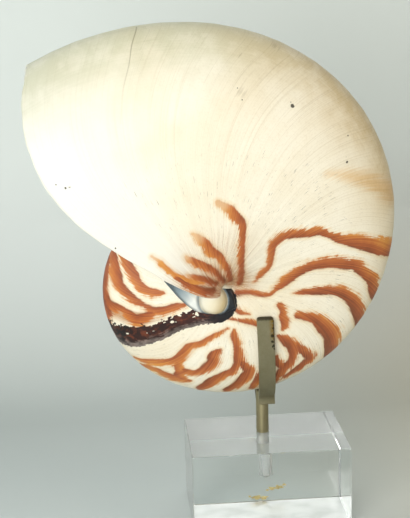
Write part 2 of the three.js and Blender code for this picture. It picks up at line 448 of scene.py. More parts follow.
# distance from the bulb's middle in its own half widths
def fromBulb(plan):
    off = (plan - np.array(callus["bulb"])) / np.array([callus["bulbWide"], callus["bulbTall"]])
    return np.linalg.norm(off, axis=-1)


# callus top: a low crown between its two edges, with a ridge and a groove across it and half an
# ellipsoid at its wide end; the underside is the same outline sunk into the older whorl
def callusRings(side):
    tip, ahead, down, length = callusAxes()
    s = (1 - np.cos(np.linspace(callus["ends"], np.pi - callus["ends"], callus["stations"]))) / 2
    lower, upper = (w[:, None] for w in callusWidths(s))
    t = np.sin(np.linspace(-np.pi / 2, np.pi / 2, callus["sides"]))[None]
    plan = tip + ahead * (s[:, None, None] * length) + down * (np.where(t > 0, lower, upper) * t)[..., None]
    floor = callus["floor"][0] + callus["floor"][1] * s[:, None] * length
    dome = np.sqrt(np.maximum(0, 1 - t ** 2))
    crown = callus["tailHeight"] * ease(s, 0, callus["crownBy"])[:, None] * dome
    bulb = callus["bulbHeight"] * np.sqrt(np.maximum(0, 1 - fromBulb(plan) ** 2)) * (1 - t ** 8)
    ridgeLine = np.array(callus["ridgeTo"]) - np.array(callus["ridgeFrom"])
    ridgeLine = ridgeLine / np.linalg.norm(ridgeLine)
    off = (plan - np.array(callus["ridgeFrom"])) @ np.array([-ridgeLine[1], ridgeLine[0]])
    hump, dip = (np.exp(-((off - away) / callus["ridgeWide"]) ** 2) for away in (0, callus["grooveAway"]))
    ridge = callus["ridgeHeight"] * (hump - callus["groove"] * dip)
    top = floor + np.maximum(crown + ridge * dome, bulb) - callus["skirt"] * t ** 8
    upside = np.concatenate([plan, top[..., None]], -1)
    under = np.concatenate([plan, (floor - callus["depth"] + 0 * t)[..., None]], -1)[:, ::-1]
    rings = np.concatenate([upside, under], 1)
    rings[..., 2] *= side
    return rings


cap = {"middle": (0.4, 0.6), "radius": 4.4, "top": 16.6, "dome": 2.6, "sides": 48, "rings": 9}


# cap: a round bar along the axis with domed ends, which closes the middle of the coil on both sides
def capRings():
    turn = fullTurn(cap["sides"])
    k = np.linspace(0.08, np.pi / 2, cap["rings"])[:, None]
    out = cap["radius"] * np.concatenate([np.sin(k), np.sin(k[::-1])])
    drop = cap["dome"] * (1 - np.cos(k))
    up = np.concatenate([drop - cap["top"], cap["top"] - drop[::-1]])
    x, y = cap["middle"]
    return np.stack([x + out * np.cos(turn), y + out * np.sin(turn), up + 0 * turn], -1)


# colour stripes: degrees back from where the outer edge ends, mm out from the axis, half width in mm;
# tone runs from orange to brown
stripes = {
    "right1": (0.5, [(120, 11.5, .3), (106, 15.5, .9), (100, 19, .9), (90, 22.5, 1), (84, 25.5, 1.5),
        (84, 29.5, 1.8), (88, 33, 1.6), (96, 38.5, 1.5), (98, 41, 1.5), (103, 43.5, 1), (108, 46.5, 1.5),
        (113, 51.5, 2.4), (118, 57, 2.8), (124, 65.5, 3.3), (127, 71, 3.3)]),
    "right2": (0.65, [(168, 6.5, 1.1), (149, 9.5, .9), (147, 13.5, .8), (144, 17.5, .7), (136, 19.5, .9),
        (126, 23, 1.8), (119, 28, 2), (117, 33, 2), (118, 37, 2), (120, 42.5, 2.2), (123, 47, 2.2),
        (125, 50.5, 2), (131, 55, 1.8), (135, 58.5, 2.4), (141, 60.5, 1.8), (144, 62.5, 1.4),
        (147, 65, 1.2)]),
    "right3": (0.65, [(139, 26.5, .2), (138, 30, .9), (137, 34.5, 1.5), (137, 43.5, 2), (139, 47, 2.2),
        (143, 51.5, 2.4), (148, 55.5, 2.6), (152, 58, 2.2), (156, 61, 1.8)]),
    "right4": (0.65, [(157, 32, 1.4), (156, 35, 1.8), (156, 40, 2.3), (159, 44.5, 2.9), (162, 50, 3.3),
        (167, 54, 3.1), (172, 58, 2.6)]),
    "fleck": (0.6, [(154, 23, .9), (158, 25.5, 1.1), (163, 26.5, 1.1), (165, 28.5, 1.6), (169, 30, 1.3),
        (172, 30.5, .6)]),
    "low1": (0.65, [(178, 31.5, .6), (177, 35.5, 2), (178, 40, 2.3), (181, 43.5, 1.6), (185, 46, 1.8),
        (189, 47, 2.1), (194, 50, 1.6), (198, 54, 1.4)]),
    "low2": (0.7, [(176, 41, 1.6), (176, 46, 1.6), (177, 50.5, 2), (181, 51, 1.6), (187, 51.5, 1.2),
        (192, 52, .8)]),
    "low3": (0.65, [(189, 39.5, .8), (190, 42.5, 1.4), (189, 46.5, 1.2)]),
    "thin1": (0.7, [(199, 11, .4), (192, 13.5, .8), (183, 16, .2)]),
    "thin2": (0.7, [(216, 14.5, .3), (199, 16.5, .4), (192, 18, .8), (185, 20.5, .9), (181, 24.5, .4)]),
    "under1": (0.55, [(209, 20, .3), (210, 23.5, 1.4), (209, 27, 1.2), (210, 31, 1.6), (210, 34.5, 2),
        (212, 37, 1.6), (216, 40, 1.6), (221, 42, 1.8), (226, 45.5, 2), (230, 50.5, 1.6)]),
    "under2": (0.65, [(210, 34.5, 1.6), (207, 39, 1.6), (206, 41.5, 2.3), (210, 45, 2.3), (213, 47.5, 2),
        (218, 51, 1.6)]),
    "under3": (0.65, [(200, 43.5, 1), (203, 47, 1.4), (207, 51.5, 1.2)]),
    "under4": (0.5, [(223, 28.5, .3), (227, 31.5, 2), (227, 34.5, 2.3), (231, 38.5, 2), (235, 41.5, 1.2),
        (241, 43, 2), (242, 45.5, 2.4), (238, 47.5, 1.2)]),
    "under5": (0.45, [(216, 19, .3), (230, 22.5, .8), (239, 27, 1.2), (246, 30, 1.4), (247, 33.5, 1.8),
        (248, 38, 2), (252, 41.5, 1.6), (257, 45, 1.6), (261, 48, 1), (264, 49.5, .4)]),
    "edge1": (0.4, [(259, 50.5, .6), (254, 48.5, 1.4), (249, 48.5, 1.6), (244, 48, 2), (239, 47.5, 1.6),
        (236, 47, .6)]),
    "edge2": (0.4, [(248, 38.5, 1.6), (245, 41, 1.6), (242, 45.5, 1.6)]),
    "left1": (0.4, [(324, 38, 2.3), (320, 36.5, 2.1), (314, 33.5, 1.8), (308, 32, 1.8), (303, 29, 1.6),
        (301, 26.5, 1.4), (300, 23, .3)]),
    "left2": (0.5, [(322, 42.5, 2), (317, 41, 1.8), (312, 40.5, 2.4), (307, 39.5, 2.1), (301, 36.5, 1.8),
        (296, 34, 1.6), (291, 31, 1.2), (286, 28.5, 1.6), (283, 24.5, 1.6), (282, 20.5, 1.2),
        (279, 17, .6)]),
    "left3": (0.6, [(307, 45.5, .5), (302, 45.5, 1), (297, 45.5, 1.8), (294, 43.5, 2), (293, 41, 1.2),
        (290, 39, 1.4), (284, 37, 2.4), (284, 33, 1.6), (285, 29.5, 1.2)]),
    "left5": (0.8, [(322, 42.5, .5), (314, 44, 1.2), (308, 44.9, 1.5), (302, 45.6, 1.5), (296, 46, 1.5),
        (290, 46.4, 1.2)]),
    "left4": (0.6, [(292, 47.5, 1.6), (286, 48.5, 1.2)]),
    "top1": (0.6, [(36, 38, .8), (40, 36, 1.3), (43, 34.5, 1.5), (48, 31.5, 1.5), (52, 29, 1.3),
        (56, 21.5, 1), (65, 13.5, 1.1), (95, 7.5, 1.1), (123, 5.5, .9)]),
    "top2": (0.6, [(16, 29.5, .6), (19, 26.5, 1.2), (22, 24, 1.3), (24, 20.5, 1.6), (30, 17.5, 1.5),
        (35, 14.5, 1.1), (41, 11.5, 1.1), (51, 7.5, 1.1), (71, 4, .9)]),
    "top3": (0.7, [(2, 24, .3), (3, 21.5, 1), (12, 15, 1.3), (18, 11.5, 1.1), (25, 7.5, 1),
        (35, 4.5, .9)]),
    "top4": (0.75, [(-11, 19, .3), (-7, 15, .9), (-2, 10.5, 1), (6, 6.5, .9)]),
    "lipEdge": (0.75, [(-17, 21.5, .8), (-20, 17.5, 1.1), (-22, 13.5, 1.5), (-22, 9.5, 1.3),
        (-14, 6, .9)]),
    "lipLine": (0.25, [(-13, 34, .3), (-13, 31, .5), (-14, 28.5, .7), (-16, 24.5, .7), (-16, 20, .8),
        (-15, 16, .8), (-7, 11, .6)]),
}
faded = ("top1", "top2", "top3", "top4", "lipLine")  # these die away at their outer end
band = [(282, 54, 5), (281, 49, 4.7), (278, 46, 5.1), (275, 42.5, 4.7), (271, 33.5, 3.9), (267, 24.5, 3.3),
        (255, 17.2, 3.2), (239, 14.2, 3.2), (224, 12.8, 3.2), (210, 11, 2.4), (197, 9.1, 1.5),
        (187, 7.3, 1), (180, 5.2, .7), (178, 3.4, .4)]
smears = ([(320, 43.5, .8), (312, 45.5, 1.2), (304, 46.5, 1.6), (297, 47, 1.8)],
          [(293, 45, 1.6), (288, 41, 2), (284, 35, 2.2), (282, 29, 1.6), (283, 25, .8)])
blotch = [(81, 58, 0.8), (88, 62, 1.8), (96, 66.5, 2.7), (105, 71.5, 3.2), (110, 75, 3.4)]
# small marks: degrees back, mm out, mm from the middle plane, radius in mm
spots = {
    "pit": (60.2, 74.0, 16.9, 0.85), "pitTail": (59.4, 75.0, 16.5, 0.35), "speck1": (79.7, 72.7, 13.2, 0.5),
    "speck2": (84.5, 65.5, 15.9, 0.6), "speck3": (83.2, 66.6, 15.7, 0.35), "dot": (-18.5, 46.8, 33.4, 0.45),
    "nick1": (-9.8, 72.2, 28.3, 0.6), "nick2": (-10.7, 73.0, 28.1, 0.55),
    "nick3": (-11.6, 76.2, 27.0, 0.35), "fleck1": (43.2, 81.4, 16.5, 0.22),
    "fleck2": (44.2, 77.4, 18.0, 0.25), "fleck3": (45.6, 73.6, 19.4, 0.3)}
stains = {"stain1": (53.3, 90.6, 4.7, 1.6), "stain2": (44.8, 87.7, 11.7, 1.0),
          "stain3": (45.2, 76.0, 18.5, 2.6)}
crack = [(23.5, 100.2, 1), (21.5, 96.8, 1), (19.6, 92, 1), (16.1, 85.6, 1), (13.2, 79.1, 1)]
# tan wash: where it starts in degrees back, and for each field its reach in mm out and where it ends
wash = {"start": (-60, -35), "fields": (((8, 34), (35, 100)), ((5, 17), (120, 190))),
        "smear": 0.75, "smearEdge": (-2.2, 1.2)}
# how markings are read: mm and degrees, and shares for the faded ends
marking = {"samples": 7, "thinnest": 0.1, "margin": 9, "turn": 160, "outside": -60.0, "acrossScale": 0.35,
           "crackReach": 3, "noCrack": 9, "faintest": 0.25, "fadeBy": 0.45}


# samples of a marking's path: flat place, half width, angle, travel and the way it runs
def markPath(points):
    p = np.array(points, float)
    angle = lipAngle - np.radians(p[:, 0])
    rows = np.stack([p[:, 1] * np.cos(angle), p[:, 1] * np.sin(angle), p[:, 2], p[:, 0]], -1)
    rows = smoothPath(rows, marking["samples"] * len(p))
    rows[:, 2] = np.maximum(rows[:, 2], marking["thinnest"])
    way = np.gradient(rows[:, :2], axis=0)
    way /= np.linalg.norm(way, axis=1)[:, None] + 1e-9
    return rows, way * np.sign(p[-1, 1] - p[0, 1])


# how deep each point lies in a marking: the most of half width less distance over its samples, both
# seen along the coil's axis; also the offset to the lip's side and how far along it is
def markDepth(points, flat, back):
    rows, way = markPath(points)
    low, high = rows[:, :2].min(0) - marking["margin"], rows[:, :2].max(0) + marking["margin"]
    sameTurn = np.abs(back - rows[:, 3].mean()) < marking["turn"]
    near = np.flatnonzero((flat > low).all(1) & (flat < high).all(1) & sameTurn)
    gap = flat[near, None] - rows[None, :, :2]
    inside = rows[None, :, 2] - np.linalg.norm(gap, axis=-1)
    best = inside.argmax(1)
    each = np.arange(len(near))
    off = gap[each, best]
    values = np.tile([marking["outside"], 0, 0, 1], (len(flat), 1))
    values[near] = np.stack([inside[each, best], way[best, 0] * off[:, 1] - way[best, 1] * off[:, 0],
                             best / (len(rows) - 1), rows[best, 2]], -1)
    return values.T


# sheet coordinates of points on a whorl: degrees of growth, place across, degrees back at this angle
def unwind(local, newest):
    angle = np.arctan2(local[:, 1], local[:, 0]) - lipAngle
    angle = newest - np.mod(newest - angle, 2 * np.pi)
    size = coilSize(angle)
    out, wide = np.hypot(local[:, 0], local[:, 1]) / size, np.abs(local[:, 2]) / size
    outer = out >= coil["widest"]
    reach, foot = sectionParts(outer)
    rise = np.maximum(wide - foot, 0) / (coil["halfWidth"] - foot)
    across = np.arctan2(rise, (out - coil["widest"]) / reach)
    return np.degrees(angle - lipLead(across)), across, -np.degrees(angle), size


# values that the shell's materials read: sheet coordinates, the deepest stripe at each point, and how
# deep it lies in the dark band and the other markings
def sheetValues(local, newest, seed):
    grown, across, back, size = unwind(local, newest)
    flat = local[:, :2]
    out = np.hypot(flat[:, 0], flat[:, 1])
    best = np.tile([[marking["outside"]], [0], [0], [1], [1]], (1, len(local)))
    for name, (tone, points) in stripes.items():
        depth, aside, along, half = markDepth(points, flat, back)
        fade = np.ones(len(local))
        if name in faded:
            fade = marking["faintest"] + (1 - marking["faintest"]) * ease(along, 0, marking["fadeBy"])
        best = np.where(depth > best[0], np.stack([depth, aside, tone + 0 * depth, half, fade]), best)
    depth, aside, tone, half, fade = best
    inBand, bandSide, bandAlong, bandHalf = markDepth(band, flat, back)
    inBlotch = markDepth(blotch, flat, back)[0]
    inCrack, crackSide, _, _ = markDepth(crack, flat, back)
    onCrack = (inCrack > -marking["crackReach"]) & (local[:, 2] > 0)  # near flank only
    crackSide = np.where(onCrack, crackSide, marking["noCrack"])
    tan = np.zeros(len(local))
    for reach, end in wash["fields"]:
        field = (1 - ease(out, *reach)) * ease(back, *wash["start"]) * (1 - ease(back, *end))
        tan = np.maximum(tan, field)
    for points in smears:
        tan = np.maximum(tan, wash["smear"] * ease(markDepth(points, flat, back)[0], *wash["smearEdge"]))
    columns = {
        "growth": [grown, across * size * marking["acrossScale"] * np.sign(local[:, 2]), seed + 0 * out],
        "comb": [half, fade, 0 * half], "sheet": [across, out, back], "stripe": [depth, aside, tone],
        "coat": [inBand, bandAlong, bandSide / bandHalf], "marks": [tan, inBlotch, crackSide]}
    return {name: np.stack(values, -1) for name, values in columns.items()}


outsideKind, olderKind, nacreKind, callusKind = range(4)  # places of the shell's materials


# shell: the cup, the older whorl, a callus on each side and the cap, made one by union
def makeShell():
    rings, insideFrom = cupRings()
    cup = closedSkin("shell_coil", fromCoil(rings))
    older = closedSkin("olderWhorl", fromCoil(olderRings()))
    plugs = [closedSkin("callus", fromCoil(callusRings(side))) for side in (1.0, -1.0)]
    middle = closedSkin("cap", fromCoil(capRings()))
    m = ringAcross.shape[1]
    finish = np.full(len(cup.data.polygons), outsideKind, np.int32)
    finish[insideFrom * m:] = nacreKind
    finish[(len(rings) - 1) * m:][:m] = outsideKind
    for piece, kind in [(cup, finish), (older, olderKind), (plugs[0], callusKind), (plugs[1], callusKind),
                        (middle, outsideKind)]:
        for mat in (shellOutside, shellOlder, shellNacre, callusPearl):
            piece.data.materials.append(mat)
        filled = np.zeros(len(piece.data.polygons), np.int32) + kind
        piece.data.polygons.foreach_set("material_index", filled)
    for other in (older, *plugs, middle):
        joined = cup.modifiers.new("join", "BOOLEAN")
        joined.operation = "UNION"
        joined.solver = "MANIFOLD"
        joined.object = other
    applyModifiers(cup)
    for other in (older, *plugs, middle):
        bpy.data.objects.remove(other)
    return cup


whorls = ((60, 0.0), (-200, 7.0))  # last and older whorl: newest angle in degrees, place in the noises


def shellAttributes(shell):
    mesh = shell.data
    local = toCoil(pulled(mesh.vertices, "co", np.float32, 3).reshape(-1, 3).astype(float) / mm)
    corner = pulled(mesh.loops, "vertex_index", np.int32)
    sides = pulled(mesh.polygons, "loop_total", np.int32)
    old = np.repeat(pulled(mesh.polygons, "material_index", np.int32) == olderKind, sides)[:, None]
    outer, older = (sheetValues(local, np.radians(newest), seed) for newest, seed in whorls)
    for name in outer:
        setValues(mesh, name, np.where(old, older[name][corner], outer[name][corner]))
    tip, ahead, down, length = callusAxes()
    along = (local[:, :2] - tip) @ ahead
    toEdge = callusWidths(along / length)[0] - (local[:, :2] - tip) @ down
    setValues(mesh, "callus", np.stack([fromBulb(local[:, :2]), along, toEdge], -1)[corner])


shellLook = {
    "lipWhite": "#ebe9dd", "ivory": "#f1ebd9", "ivoryWarm": "#e8ddc3", "line": "#c4b594", "hair": "#a3947a",
    "dash": "#7f7b70", "ventGreen": "#dee1d4", "ventTan": "#ddd0b6",
    "orange": "#d08b3a", "amber": "#bc6c2e", "rust": "#9f4c21", "brown": "#773a1b",
    "halo": "#f0d2a6", "wash": "#bb8958", "washLine": "#9c6236", "dark": "#2b261c", "stain": "#9d917a",
    "coat": [(0.0, "#33201a"), (0.12, "#17100e"), (0.25, "#311812"), (0.42, "#3d1b15"),
             (0.54, "#1f161a"), (0.64, "#101219")],
    "coatRed": "#72361e", "coatRubbed": "#8b8078", "coatFoot": "#95562f", "coatBlack": "#120e0d",
    "crack": "#857a60",
}
# noises that follow the growth: scale along and across it, start, detail and roughness
growthNoise = {
    "fine": ((2.3, 0.02, 1), (0, 0, 0), 4, 0.65), "hair": ((4.3, 0.03, 1), (11, 2, 0), 2, 0.5),
    "broad": ((0.33, 0.012, 1), (0, 0, 0), 3, 0.55), "streak": ((1.5, 0.045, 1), (31, 4, 0), 3, 0.6),
    "spiral": ((0.1, 1.7, 1), (5, 9, 0), 3, 0.6), "dash": ((3.1, 0.42, 1), (3, 17, 0), 2, 0.5)}
# even noises: scale, detail and roughness
evenNoise = {"cloud": (28, 3, 0.55), "mottle": (150, 4, 0.6), "grain": (1400, 2, 0.5),
             "lumpy": (330, 3, 0.6)}


# distance in mm from a small mark on the near flank
def awayFrom(here, mark):
    angle = lipAngle - np.radians(mark[0])
    at = fromCoil(np.array([mark[1] * np.cos(angle), mark[1] * np.sin(angle), mark[2]])) * mm
    return maths("DIVIDE", distance(here, at.tolist()), mm)


def shellOutsideMaterial():
    mat = newMaterial("shellOutside", roughness=0.45, specular=0.4)
    look = shellLook
    growth = readValues("growth")
    across, out, back = parts(readValues("sheet"))
    depth, aside, tone = parts(readValues("stripe"))
    half, fade, _ = parts(readValues("comb"))
    coat = readValues("coat")
    inCoat, coatAlong, coatSide = parts(coat)
    wash, inBlotch, crackSide = parts(readValues("marks"))
    here = objectPlace()

    # growth lines fan out from the umbilicus, fine ones between broad ones, fainter towards the lip
    fine, hair, broad, streak, spiral, dash = (
        noise(stretched(growth, scale, move), 1, detail, rough)
        for scale, move, detail, rough in growthNoise.values())
    cloud, mottle, grain, lumpy = (noise(here, *values) for values in evenNoise.values())
    shown = stepUp(back, 5, 60, 0.3, 0.8)

    colour = ramp(cloud, [(0.3, look["ivoryWarm"]), (0.62, look["ivory"])])
    colour = blend(stepUp(back, 22, -12), colour, look["lipWhite"])
    lines = times(shown, stepUp(fine, 0.5, 0.72, 0, 0.36))
    colour = blend(lines, colour, look["line"], "MULTIPLY")
    hairs = times(shown, stepUp(hair, 0.6, 0.74, 0, 0.26))
    colour = blend(hairs, colour, look["hair"], "MULTIPLY")

    # outer edge: greyer and greener over the top, tan behind it, with spiral lines and mottling
    vent = times(stepUp(across, 0.95, 0.2), stepUp(mottle, 0.3, 0.65, 0.72, 1.15))
    vent = times(vent, stepUp(spiral, 0.35, 0.65, 0.9, 1.05))
    vent = times(vent, stepUp(back, 135, 85, 0.15, 1), clamp=True)
    edgeTint = blend(stepUp(back, 25, 70), look["ventGreen"], look["ventTan"])
    colour = blend(vent, colour, edgeTint, "MULTIPLY")

    # tan wash in streaks round the umbilicus, and a faint blotch
    filled = times(stepUp(streak, 0.4, 0.56, 0.25, 1.1), stepUp(out, 17, 6, 0.25, 1))
    filled = maths("MAXIMUM", filled, stepUp(out, 30, 34, 0, 0.9))
    colour = blend(times(wash, filled, clamp=True), colour, look["wash"])
    threads = times(wash, stepUp(hair, 0.54, 0.59, 0, 0.95), clamp=True)
    colour = blend(threads, colour, look["washLine"])
    blot = maths("ADD", inBlotch, timesPlus(streak, 6, -3))
    colour = blend(stepUp(blot, -2.5, 2.5, 0, 0.75), colour, look["halo"], "MULTIPLY")

    grit = times(stepUp(grain, 0.45, 0.75, 0, 0.12), stepUp(back, 0, 60, 0.3, 1))
    colour = blend(grit, colour, look["line"], "MULTIPLY")

    # short grey dashes along the growth lines
    dashes = times(stepUp(dash, 0.672, 0.71, 0, 0.85), stepUp(back, -8, 8))
    dashes = times(dashes, stepUp(out, 66, 50))
    colour = blend(dashes, colour, look["dash"])

    # stripes: crisp on the side away from the lip, combed out along the growth lines towards it
    combed = times(stepUp(aside, -0.7, 0.9, 0.25, 1.0), timesPlus(half, 0.5, 0.35))
    edge = shaken(maths("ADD", depth, 0.3), stepUp(streak, 0.36, 0.64), combed)
    edge = shaken(edge, lumpy, stepUp(aside, -0.7, 0.9, 1.2, 3))
    thread = times(maths("SUBTRACT", hair, 0.5), stepUp(out, 22, 8, 0, 4))
    edge = maths("ADD", edge, thread)
    colour = blend(stepUp(edge, -1.7, 0.1, 0, 0.5), colour, look["halo"], "MULTIPLY")
    deep = timesPlus(aside, -0.13, tone)
    deep = shaken(deep, fine, 1.5)
    deep = shaken(deep, mottle, 0.5)
    deep = maths("ADD", deep, stepUp(out, 15, 5, 0, 0.25))
    deep = maths("ADD", deep, timesPlus(fade, 0.6, -0.6))
    deep = shaken(deep, cloud, 0.9)
    dye = ramp(deep, [(0.1, look["orange"]), (0.4, look["amber"]), (0.7, look["rust"]), (1, look["brown"])])
    dyed = times(stepUp(edge, -0.35, 0.35, 0, 0.96), stepUp(fade, 0.25, 0.7, 0.5, 1))
    colour = blend(dyed, colour, dye)

    # dark coat of the band: broken blocky edge above, red-brown in its middle, rubbed grey streaks below,
    # blue-black at the umbilicus
    flakes = parts(addNode("ShaderNodeTexVoronoi", {"Vector": here, "Scale": 950.0}).outputs["Color"])
    ragged = shaken(inCoat, flakes[0], stepUp(coatSide, 0.6, -0.9, 0.6, 2.8))
    gaps = times(stepUp(flakes[1], 0.86, 0.9, 0, -4), stepUp(coatSide, 0.1, -0.35))
    ragged = maths("ADD", ragged, gaps)
    streaks = noise(stretched(coat, (0, 34, 2.6)), 1, 4, 0.6)
    base = ramp(coatAlong, look["coat"])
    redden = times(stepUp(streaks, 0.47, 0.62, 0, 0.85), stepUp(coatAlong, 0.6, 0.42))
    base = blend(redden, base, look["coatRed"])
    rubbed = timesPlus(coatSide, 0.45, streaks)
    rubbed = times(stepUp(rubbed, 0.62, 0.85, 0, 0.75), stepUp(coatAlong, 0.58, 0.45))
    base = blend(rubbed, base, look["coatRubbed"])
    lowest = times(stepUp(coatAlong, 0.16, 0.05), stepUp(coatSide, 0.1, 0.6))
    base = blend(lowest, base, look["coatFoot"])
    base = blend(stepUp(mottle, 0.42, 0.6, 0, 0.5), base, look["coatBlack"])
    inBand = stepUp(ragged, -0.12, 0.12)
    colour = blend(inBand, colour, base)

    # crack, stains and small pits
    cracked = stepUp(maths("ABSOLUTE", crackSide), 0.05, 0.32, 0.6, 0)
    cracked = times(cracked, stepUp(across, 0.75, 0.3, 0.2, 1))
    colour = blend(cracked, colour, look["crack"])
    for mark in stains.values():
        soft = shaken(awayFrom(here, mark), streak, 9)
        colour = blend(stepUp(soft, mark[3], 0, 0, 0.25), colour, look["stain"], "MULTIPLY")
    # small spots, each a dip in the bump, all painted near-black; in the pit this near-black is painted
    # shade in its hollow
    holes = None
    for mark in spots.values():
        rough = shaken(awayFrom(here, mark), grain, 1.2 * mark[3])
        hole = stepUp(rough, mark[3], 0.7 * mark[3])
        holes = hole if holes is None else maths("MAXIMUM", holes, hole)
    colour = blend(times(holes, 0.92), colour, look["dark"])
    join(colour, "colour")
    join(timesPlus(fine, 0.2, 0.36), "roughness")
    height = timesPlus(broad, 0.8, fine)
    height = timesPlus(inBand, 1.5, height)
    height = timesPlus(holes, -4, height)
    bumped(height, 0.35, 0.00012)
    return mat


nacreColours = [(0.3, "#e9dccb"), (0.5, "#ece9df"), (0.62, "#dfe6de"), (0.8, "#eadcd8")]


def shellNacreMaterial():
    mat = newMaterial("shellNacre", roughness=0.24, specular=0.5, coat=0.3, coatRoughness=0.12)
    here = objectPlace()
    growth = readValues("growth")
    cloud = noise(here, 35, 2, 0.5)
    lines = noise(stretched(growth, (0.8, 0.02, 1)), 1, 3, 0.6)
    mixed = timesPlus(lines, 0.5, times(cloud, 0.6))
    join(ramp(mixed, nacreColours), "colour")
    bumped(lines, 0.2, 0.0001)
    return mat


# colours along the callus from its tip, and those of its edges, with painted shade: the tail darkens
# towards its tip under the lip, the groove and the bulb's edge are darker, and the bulb turns tan towards
# its right
pearl = {
    "tail": [(0.05, "#2f3534"), (0.14, "#56636a"), (0.26, "#84939a"), (0.37, "#b3bcbc"), (0.46, "#eceee8")],
    "bulb": [(0.42, "#dfe0d8"), (0.55, "#eae4d0"), (0.7, "#e6dabc"), (0.8, "#cdb98e")],
    "rim": "#4d585d", "groove": "#727e82", "bulbEdgeShade": "#97927f", "crescent": "#626d73", "ring": "#14171c",
    "perMm": 0.035}


def callusPearlMaterial():
    mat = newMaterial("callusPearl", roughness=0.28, specular=0.5, coat=0.3, coatRoughness=0.15)
    bulbShare, along, toEdge = parts(readValues("callus"))
    here = objectPlace()
    grain = noise(here, 700, 3, 0.6)
    cloud = noise(here, 260, 2, 0.5)
    # tail: pale pearl that darkens towards the tip, painted shade under the lip's overhang
    tail = ramp(timesPlus(cloud, 0.06, times(along, pearl["perMm"])), pearl["tail"])
    rim = times(stepUp(toEdge, 2.6, 0.9), stepUp(along, 18, 13))
    tail = blend(times(rim, 0.9), tail, pearl["rim"])
    # painted shade in the groove between the tail's ridge and the bulb
    groove = times(stepUp(bulbShare, 0.9, 0.99), stepUp(bulbShare, 1.25, 1.02))
    tail = blend(times(groove, 0.85), tail, pearl["groove"])
    # bulb: cream pearl with painted shade, turning tan towards its right and darker at its edge
    bulb = ramp(times(along, pearl["perMm"]), pearl["bulb"])
    bulb = blend(stepUp(bulbShare, 0.7, 0.97, 0, 0.6), bulb, pearl["bulbEdgeShade"])
    colour = blend(stepUp(bulbShare, 0.99, 0.94), tail, bulb)
    # grey crescent and black ring beyond the bulb
    beyond = timesPlus(grain, 0.1, bulbShare)
    right = stepUp(along, 16.5, 19)
    colour = blend(times(stepUp(beyond, 1.0, 1.07), right), colour, pearl["crescent"])
    colour = blend(times(stepUp(beyond, 1.08, 1.16), right), colour, pearl["ring"])
    join(colour, "colour")
    bumped(grain, 0.15, 0.0001)
    return mat


shellOutside = shellOutsideMaterial()
shellOlder = shellOutside.copy()
shellNacre = shellNacreMaterial()
callusPearl = callusPearlMaterial()
shell = makeShell()
shellAttributes(shell)
smoothShade(shell, 35)
dress(shell, "shell", "shell")
print("shell made:", len(shell.data.polygons), "faces")


post = {"x": -0.7, "y": 3.4, "diameter": 5.0, "sunk": 5.0, "rise": 17.6, "edge": 0.4, "sides": 96}
prong = {"width": 6.5, "thickness": 2.0, "edge": 0.35, "corner": 1.2, "stations": 150,
         "samples": 2000, "tipFrom": 1.6, "narrowest": 0.4}
frontBends = [(3.85, 13), (4.2, 15.2), (5.9, 17.7), (10.4, 21.1), (13.5, 24.3),
              (15.6, 27.4), (18, 31.6), (21.8, 39.6), (24.6, 47.7), (26.8, 56)]
backBends = [(3.85, 12), (3.85, 15.5), (4.1, 18.9), (4.9, 21.4), (6.7, 24.5),
             (9, 31.8), (10.2, 39.8), (10.45, 46), (10.4, 51), (10.2, 56)]
frontLean = (1.5, -1.6)
backLean = (1.2, -2.6)
blockTop = 32.0


# flat bar: a rectangle with rounded edges carried along its bends; its width follows round corners at
# the tip, and the last stretch at both ends rounds over in thickness
def prongRings(bends, lean, facing):
    path = smoothPath(bends, prong["samples"])
    travel = travelled(path)
    length, edge, corner = travel[-1], prong["edge"], prong["corner"]
    ends = edge * (1 - np.cos(quarter(7)[:-1]))
    tipRun = length - corner * (1 - np.sin(quarter(14)))
    middle = np.linspace(edge, length - prong["tipFrom"], prong["stations"])
    s = np.unique(np.round(np.concatenate([ends, middle, tipRun, length - ends]), 4))
    way = np.gradient(path, axis=0)
    way /= np.linalg.norm(way, axis=1)[:, None]
    at, way = (np.stack([np.interp(s, travel, column) for column in rows.T], -1) for rows in (path, way))
    toTip = np.clip(corner - (length - s), 0, corner)
    inset = np.minimum(np.minimum(s, length - s), edge) / edge
    inset = edge * (1 - np.sqrt(np.maximum(0, 1 - (1 - inset) ** 2)))
    half = prong["width"] / 2 - corner + np.sqrt(corner ** 2 - toTip ** 2)
    half = np.maximum(half - inset * (s < 1), prong["narrowest"])[:, None]
    thick = (prong["thickness"] / 2 - inset)[:, None]
    arc = quarter(6)
    c, d = edge * np.cos(arc), edge * np.sin(arc)
    wide = np.repeat([1, -1, -1, 1], len(arc)) * (half - edge) + np.concatenate([c, -d, -c, d])
    deep = np.repeat([1, 1, -1, -1], len(arc)) * (thick - edge) + np.concatenate([d, c, -d, -c])
    sideways = (lean[0] + (lean[1] - lean[0]) * s / length)[:, None]
    x = post["x"] + sideways + wide
    y = post["y"] + facing * (at[:, :1] + deep * way[:, 1:])
    z = blockTop + at[:, 1:] - deep * way[:, :1]
    return np.stack([x, y, z], -1), np.stack([(length - s)[:, None] + 0 * wide, wide, 0 * wide], -1)


# post: a round profile with small rounded rims, turned about its own axis
def postRings():
    radius, edge = post["diameter"] / 2, post["edge"]
    k = quarter(6)
    out = np.concatenate([radius - edge + edge * np.sin(k), radius - edge + edge * np.cos(k)])
    up = np.concatenate([-post["sunk"] + edge * (1 - np.cos(k)), post["rise"] - edge + edge * np.sin(k)])
    turn = fullTurn(post["sides"])
    return np.stack([post["x"] + out[:, None] * np.cos(turn), post["y"] + out[:, None] * np.sin(turn),
                     blockTop + up[:, None] + 0 * turn], -1)


# the back prong's colours are darker than the others: painted shade on the same dull metal
metals = {"bar": ("#857e60", "#9a9377"), "back": ("#4a4330", "#6b6349"), "post": ("#857d5c", "#9a9272")}


